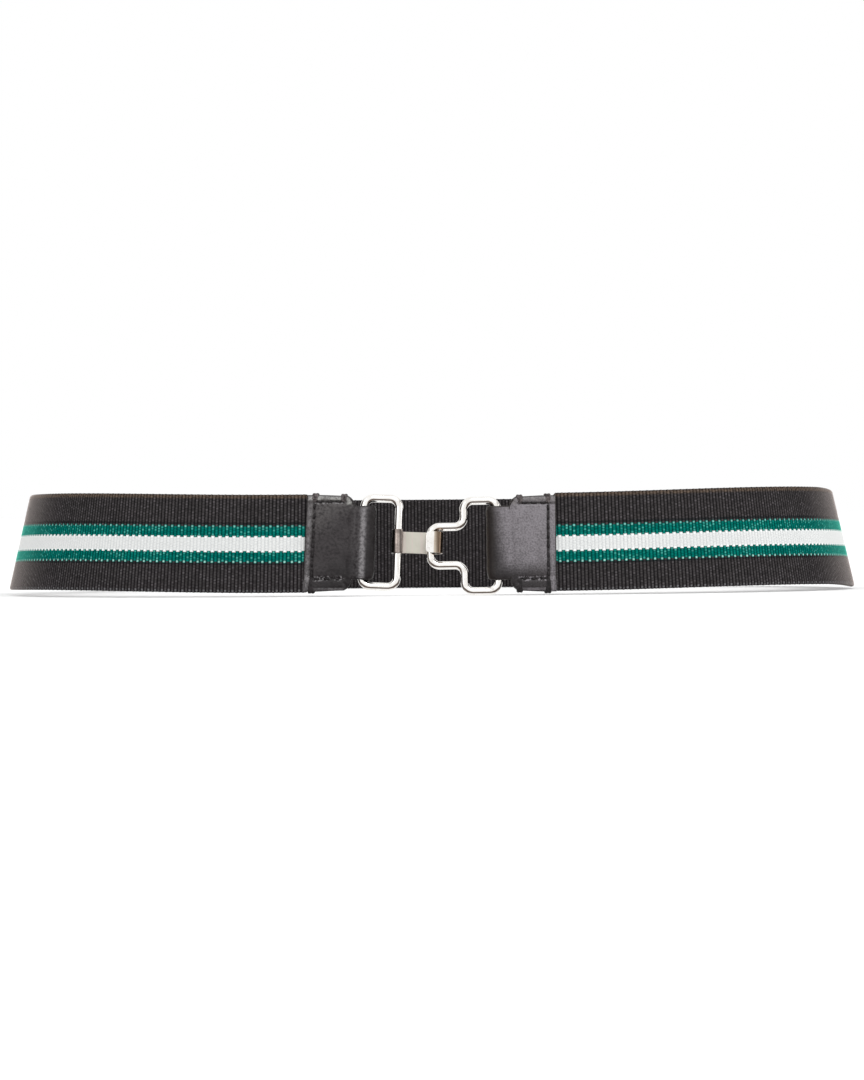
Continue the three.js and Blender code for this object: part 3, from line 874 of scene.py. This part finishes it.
def thread_tube(centres, across):
    """Rings of a laid thread round a line of (x, out, z) centres."""
    along = unit(np.gradient(centres, axis=0))
    up = unit(np.cross(along, across))
    side_way = np.cross(up, along)
    angle = np.linspace(0, 2 * math.pi, THREAD_SIDES, endpoint=False)
    strands = np.cos(STRANDS * (angle + run_along(centres)[:, None] * STRAND_TWIST))
    ends = np.sqrt(np.clip(1 - np.linspace(-1, 1, len(centres)) ** 8, 0.02, 1))
    r = (THREAD / 2 * ends)[:, None] * (1 + STRAND_RELIEF * strands)
    return (centres[:, None] + side_way[:, None] * (r * np.cos(angle))[..., None]
            + up[:, None] * (r * np.sin(angle))[..., None])


def laid_stitches(side, surface):
    tubes = []
    t = np.linspace(0, 1, 13)[:, None]
    arch = np.sin(t[:, 0] * math.pi) ** 0.6
    for face in (1, -1):
        for (x0, z0), (x1, z1) in stitch_runs(side):
            across = np.array([z0 - z1, 0, x1 - x0]) / math.hypot(x1 - x0, z1 - z0)
            slant = STITCH_SLANT * across * face
            start, end = np.array([x0, 0, z0]) - slant, np.array([x1, 0, z1]) + slant
            centres = start * (1 - t) + end * t
            centres[:, 1] = face * (surface - STITCH_DEEP + STITCH_RISE * arch)
            tubes.append(thread_tube(centres, across))
    return tubes


def edge_knobs(side, surface):
    """Turns of thread laid side by side over the tab's edges at the ends of the seams, each as
    (index of its thread, rings)."""
    tubes = []
    fine = np.linspace(0, 1, 40)
    for x, end in KNOBS[side]:
        low, high = (float(height) for height in tab_heights(x, side))
        # Knobs on the upper edge take the rubbed thread, paler with painted light from above
        sign, rubbed_and_lit, seam, rim = ((1, 1, STITCH_TOP[side], high + KNOB_PROUD) if end == "top"
                                   else (-1, 0, STITCH_BOTTOM, low - KNOB_PROUD))
        for turn, shift in enumerate(KNOB_TURNS):
            reach = rim - sign * 0.08 * (turn % 2)
            bend = [(seam + sign * above, surface + out, shift * KNOB_SPREAD) for above, out in KNOB_FOOT]
            bend += [(reach - sign * below, surface + out, shift) for below, out in KNOB_BEND]
            bend += [(reach, 0, shift)]
            # And the same on the other face
            bend += [(z, -y, dx) for z, y, dx in bend[-2::-1]]
            s = np.linspace(0, 1, len(bend))
            z, y, dx = (np.interp(fine, s, values) for values in zip(*bend))
            tubes.append((rubbed_and_lit, thread_tube(stacked(x + dx, y, z), np.array([1, 0, 0]))))
    return tubes


def thread_material(name, dark, pale):
    material, t, shader = new_material(name)
    where = t.node("TexCoord").outputs["Object"]
    fuzz = t.noise(where, 9000, 3, 0.7)
    share = t.ramp(t.noise(where, 1300, 2, 0.6), 0.7, t.times(fuzz, 0.3))
    t.set(shader, Base_Color=t.mix(t.span(share, 0.38, 0.62), dark, pale),
          Roughness=t.span(fuzz, 0.3, 0.7, 0.55, 0.8), Normal=t.bump(0.5, 0.00004, fuzz),
          Specular_IOR_Level=0.3)
    return material


def make_stitches(side, threads):
    surface = WEBBING_THICKNESS / 2 + GAP + LEATHER
    points, faces, indices, first = [], [], [], 0
    tubes = [(0, tube) for tube in laid_stitches(side, surface)] + edge_knobs(side, surface)
    for index, tube in tubes:
        count = len(tube)
        points.append(tab_point(side, *np.moveaxis(tube, -1, 0)).reshape(-1, 3))
        quads, _, _ = lattice_faces(count, THREAD_SIDES, closed_rows=True, first=first)
        last = first + (count - 1) * THREAD_SIDES
        faces += quads.tolist()
        faces.append([first + k for k in reversed(range(THREAD_SIDES))])
        faces.append([last + k for k in range(THREAD_SIDES)])
        indices += [index] * (len(faces) - len(indices))
        first += count * THREAD_SIDES
    obj = make_object(f"tab_{side}_stitches", np.concatenate(points), faces, threads, indices)
    fix_normals(obj)
    return finish_piece(obj)


# Clasp
WIRE_SIDES = 28
SHEET_BEVEL = 0.12
# The sheet is thinner towards its ends, and narrows where the sleeve ends
END_THIN = 0.45
END_RUN = 0.14
SLEEVE_NARROWS = 0.3
SHARP_ANGLE = math.radians(40)
# How far the strip's finishes reach past the sleeve, before the curl and past the tip's start
SLEEVE_SEAM, CURL_SEAM, TIP_SEAM = 0.1, 0.5, 0.2
# Platings: paler and deeper colour, roughness from and to, strength of the marks, share of spots
PLATINGS = {
    "polished": ((0.97, 0.96, 0.94), (0.88, 0.855, 0.82), (0.06, 0.13), 0.1, 0.15),
    "satin": ((0.565, 0.53, 0.478), (0.52, 0.49, 0.44), (0.36, 0.46), 0.25, 0.1),
    # The bend's bronze colour is a painted reflection
    "bronze_reflection": ((0.64, 0.57, 0.48), (0.58, 0.5, 0.41), (0.12, 0.22), 0.2, 0.3),
    "mottled": ((0.47, 0.405, 0.37), (0.235, 0.2, 0.182), (0.16, 0.3), 0.3, 0.5),
}
# Where the bend's painted reflection turns brown, in metres along x, and the sleeve's bands of
# painted shade, in millimetres from the middle of the ring's right leg
BEND_REFLECTION = (0.0007, 0.002)
SLEEVE_SHADE = (-0.95, 0.85)


def rounded_path(corners, radius, spacing=0.9, turn_steps=12):
    """A closed line through right-angled corners, rounded off, as (x, z) points."""
    corners = [np.array(c, float) for c in corners]
    points = []
    for k, corner in enumerate(corners):
        before, after = corners[k - 1], corners[(k + 1) % len(corners)]
        start = corner + radius * unit(before - corner)
        end = corner + radius * unit(after - corner)
        centre = start + end - corner
        a, b = start - centre, end - centre
        angle = np.linspace(0, math.pi / 2, turn_steps)
        points += [centre + a * math.cos(w) + b * math.sin(w) for w in angle]
        stop = after + radius * unit(corner - after)
        steps = max(int(np.linalg.norm(stop - end) / spacing), 2)
        points += [end + (stop - end) * w / steps for w in range(1, steps)]
    return np.array(points)


def bent_wire(path):
    normal = left_of(np.roll(path, -1, axis=0) - np.roll(path, 1, axis=0))
    angle = np.linspace(0, 2 * math.pi, WIRE_SIDES, endpoint=False)
    out = WIRE / 2 * np.cos(angle)
    x, z = (path[:, k:k + 1] + normal[:, k:k + 1] * out for k in (0, 1))
    quads, _, _ = lattice_faces(len(path), WIRE_SIDES, closed_columns=True, closed_rows=True)
    return stacked(x, WIRE / 2 * np.sin(angle), z).reshape(-1, 3), quads


def turned(a, b, angle):
    c, s = math.cos(angle), math.sin(angle)
    return a * c + b * s, b * c - a * s


def seat_clasp(points, piece, tilt, rise=0):
    """Points in a clasp piece's own frame, in millimetres, carried to their place."""
    x, y, z = (np.asarray(points, float) + (0, 0, rise)).T
    x, z = turned(x, z, tilt)
    y, z = turned(y, z + piece.z, FRONT_LEAN)
    seat = on_loop(EYE.x + EYE.width, 0, WEBBING_WIDTH / 2)[1]
    return stacked(x + piece.x, y + seat, z + CLASP_HEIGHT)


def metal_material(kind, marked=None):
    """Plated metal with soft clouds, fine rub marks and a few dull spots, marked in its own way."""
    pale, deep, roughness, bump, spots = PLATINGS[kind]
    material, t, shader = new_material(f"metal_{kind}")
    where = t.node("TexCoord").outputs["Object"]
    cloud = t.noise(where, 330, 3, 0.6)
    marks = t.noise(t.scaled(where, 6000, 1500, 500))
    tarnish = t.times(t.span(t.noise(where, 900, 2, 0.6), 0.6, 0.7), spots)
    base = t.mix(t.span(cloud, 0.35, 0.68), pale, deep)
    base = t.mix(tarnish, base, (0.33, 0.26, 0.22))
    if marked:
        base = marked(t, where, base)
    worn = t.ramp(marks, 0.5, t.times(cloud, 0.5))
    t.set(shader, Base_Color=base, Metallic=1, Normal=t.bump(bump, 0.00002, marks),
          Roughness=t.ramp(tarnish, 0.2, t.span(worn, 0.35, 0.65, *roughness)))
    return material


def brushed(t, where, base):
    """The flat of the hook, brushed upright so that it shows faint bands."""
    band = t.noise(t.scaled(where, 900, 10, 10), 1, 2, 0.6)
    base = t.mix(t.span(band, 0.35, 0.65, 0, 0.5), base, (0.545, 0.555, 0.475))
    return t.mix(t.span(band, 0.6, 0.4, 0, 0.4), base, (0.62, 0.545, 0.505))


def painted_bend_reflection(t, where, base):
    """The hook's bend, with a painted reflection that goes from light to brown."""
    x = t.node("SeparateXYZ", where).outputs[0]
    return t.mix(t.span(x, *BEND_REFLECTION), base, (0.19, 0.135, 0.095))


def blotched(t, where, base):
    """The hook's sleeve: mottled, with painted shade to the left and where the sleeve ends."""
    x = t.node("SeparateXYZ", where).outputs[0]
    blotch = t.span(t.noise(where, 1500, 2, 0.6), 0.38, 0.62)
    base = t.mix(t.times(blotch, 0.5), base, (0.26, 0.215, 0.195))
    left, end = (RING.x + RING.width / 2 + shift for shift in SLEEVE_SHADE)
    # Painted shade in bands at the sleeve's left and where it ends
    dark = t.most(t.span(x, (left + 0.4) * MM, left * MM), t.times(t.near(x, end * MM, 0.0005, 0.0002), 0.7))
    return t.mix(dark, base, (0.05, 0.042, 0.038))


def make_wire(name, node, piece, side, corners, metal):
    points, quads = bent_wire(rounded_path(corners, piece.corner))
    obj = make_object(name, seat_clasp(points, piece, WIRE_TILT[side]), quads.tolist(), [metal])
    fix_normals(obj)
    return finish_piece(obj, node)


def make_ring(metal):
    x, z = RING.width / 2, RING.height / 2
    return make_wire("ring_wire", "clasp_ring", RING, "left", [(x, z), (-x, z), (-x, -z), (x, -z)], metal)


def make_eye(metal):
    z = EYE.height / 2
    top = EYE.neck_rise + EYE.neck_height / 2
    bottom = EYE.neck_rise - EYE.neck_height / 2
    w, n = EYE.width, -EYE.neck_length
    corners = [(w, z), (0, z), (0, top), (n, top), (n, bottom), (0, bottom), (0, -z), (w, -z)]
    return make_wire("eye_wire", "clasp_eye", EYE, "right", corners, metal)


def hook_plan():
    """The hook's middle line seen from above, as (x, y) points, and the run of its sleeve."""
    leg = RING.width / 2
    sleeve = WIRE / 2 + GAP + HOOK.sheet / 2
    curl = (HOOK.curl_inner + HOOK.sheet) / 2
    curl_x, curl_y = leg + HOOK.reach, sleeve - curl
    turn = np.linspace(0, math.pi, 34)
    plan = np.concatenate([
        line((leg + HOOK.sleeve_end, -sleeve), (leg, -sleeve), 7)[:-1],
        stacked(leg - sleeve * np.sin(turn), -sleeve * np.cos(turn))[:-1],
        line((leg, sleeve), (curl_x, sleeve), 30)[:-1],
        stacked(curl_x + curl * np.sin(turn), curl_y + curl * np.cos(turn))[:-1],
        line((curl_x, curl_y - curl), (curl_x - HOOK.tip_length, curl_y - curl), 30)])
    return plan, 2 * HOOK.sleeve_end + math.pi * sleeve


def sheet_ring():
    """The strip's bevelled section as (outwards, share of its half height, drop)."""
    t, b = HOOK.sheet / 2, SHEET_BEVEL
    levels = np.linspace(-1, 1, 9)
    face = [(level, -b * np.sign(level) if abs(level) == 1 else 0) for level in levels]
    return np.array([(t, *point) for point in face] + [(t - b, 1, 0), (b - t, 1, 0)]
                    + [(-t, *point) for point in face[::-1]] + [(b - t, -1, 0), (t - b, -1, 0)])


def make_hook(polished):
    plan, sleeve_run = hook_plan()
    run = run_along(plan)
    normal = left_of(np.gradient(plan, axis=0))
    tip = HOOK.tip_round
    into = np.clip(tip - (run[-1] - run), 0, tip)
    half = HOOK.height / 2 - tip + np.sqrt(tip ** 2 - into ** 2)
    wider = 1 - smoothstep(run, sleeve_run - SLEEVE_NARROWS, sleeve_run)
    half += (HOOK.sleeve_height - HOOK.height) / 2 * wider
    ring = sheet_ring()
    thin = 1 - END_THIN * (1 - smoothstep(np.minimum(run, run[-1] - run), 0, END_RUN))
    x, y = (plan[:, k:k + 1] + normal[:, k:k + 1] * ring[:, 0] * thin[:, None] for k in (0, 1))
    points = stacked(x, y, half[:, None] * ring[:, 1] + ring[:, 2]).reshape(-1, 3)
    columns, rows = len(plan), len(ring)
    quads, i, _ = lattice_faces(columns, rows, closed_rows=True)
    faces = quads.tolist() + [list(range(rows))[::-1], [(columns - 1) * rows + k for k in range(rows)]]
    # The strip's parts, in the order of its materials: tip, flat, curl and sleeve
    at, plate_end = run[i], sleeve_run + HOOK.reach - CURL_SEAM
    sleeve = at <= sleeve_run + SLEEVE_SEAM
    flat = ~sleeve & (at < plate_end)
    curled = (at >= plate_end) & (at < run[-1] - HOOK.tip_length + TIP_SEAM)
    index = np.concatenate([flat + 2 * curled + 3 * sleeve, [3, 0]])
    obj = make_object("hook_strip", seat_clasp(points, RING, WIRE_TILT["left"], HOOK.rise), faces,
                      [polished, metal_material("satin", brushed), metal_material("bronze_reflection", painted_bend_reflection),
                       metal_material("mottled", blotched)], index)
    fix_normals(obj)
    obj.data.set_sharp_from_angle(angle=SHARP_ANGLE)
    return finish_piece(obj, "clasp_hook")


# Stage. A sun has its azimuth to the right of the camera's side, its elevation, the width of its
# disc and its strength.
FLOOR_HALF = 30000
FLOOR_TONE = (0.96, 0.96, 0.96)
SKY = (0.9, 0.9, 0.9)
SUNS = {"key_light": (18, 48, 32, 1.1), "fill_light": (-42, 24, 40, 0.3), "side_light": (84, 16, 40, 0.6)}


def make_stage():
    material, t, shader = new_material("floor_pale")
    t.set(shader, Base_Color=FLOOR_TONE, Roughness=0.9, Specular_IOR_Level=0)
    s = FLOOR_HALF
    corners = [(-s, -s, 0), (s, -s, 0), (s, s, 0), (-s, s, 0)]
    floor = make_object("floor", corners, [(0, 1, 2, 3)], [material])
    # The metal mirrors the studio's soft boxes and flags rather than the bare floor
    floor.visible_glossy = False


def make_world():
    """White to the camera, even light on all sides, and dark flags that only reflections show."""
    world = bpy.data.worlds.new("studio")
    world.use_nodes = True
    bpy.context.scene.world = world
    t = Tree(world.node_tree)
    _, y, z = t.node("SeparateXYZ", t.node("TexCoord").outputs["Generated"]).outputs
    sides = t.times(t.span(y, -0.66, -0.36), t.span(y, 0.7, 0.5), t.near(z, 0, 0.75, 0.45))
    below = t.times(t.span(z, -0.18, -0.3), t.span(z, -0.92, -0.78), t.span(y, 0.1, -0.1))
    mirrored = t.mix(sides, (1, 0.995, 0.985), (0.09, 0.076, 0.07))
    mirrored = t.mix(below, mirrored, (0.13, 0.1, 0.085))
    paths = t.node("LightPath")
    shown = t.mix(paths.outputs["Is Glossy Ray"], SKY, mirrored)
    shown = t.mix(paths.outputs["Is Camera Ray"], shown, (1, 1, 1))
    t.put(t.node("OutputWorld").inputs[0], t.node("Background", shown, 1))


def make_sun(name, azimuth, elevation, angle, strength):
    data = bpy.data.lights.new(name, "SUN")
    data.angle = math.radians(angle)
    data.energy = strength
    light = add_object(name, data)
    a, e = math.radians(azimuth), math.radians(elevation)
    source = Vector((math.sin(a) * math.cos(e), -math.cos(a) * math.cos(e), math.sin(e)))
    light.rotation_euler = source.to_track_quat("Z", "Y").to_euler()
    light.location = source


make_camera()
make_stage()
make_world()
for name, values in SUNS.items():
    make_sun(name, *values)
bpy.context.scene.view_settings.view_transform = "Standard"

webbing = make_webbing()
threads = [thread_material(name, *tones) for name, tones in THREADS.items()]
tabs = {side: make_tab(side) for side in ("left", "right")}
stitches = {side: make_stitches(side, threads) for side in ("left", "right")}
polished = metal_material("polished")
wires = {"left": make_ring(polished), "right": make_eye(polished)}
make_hook(polished)

for side, wire in wires.items():
    width, length, area = tab_cut(side)
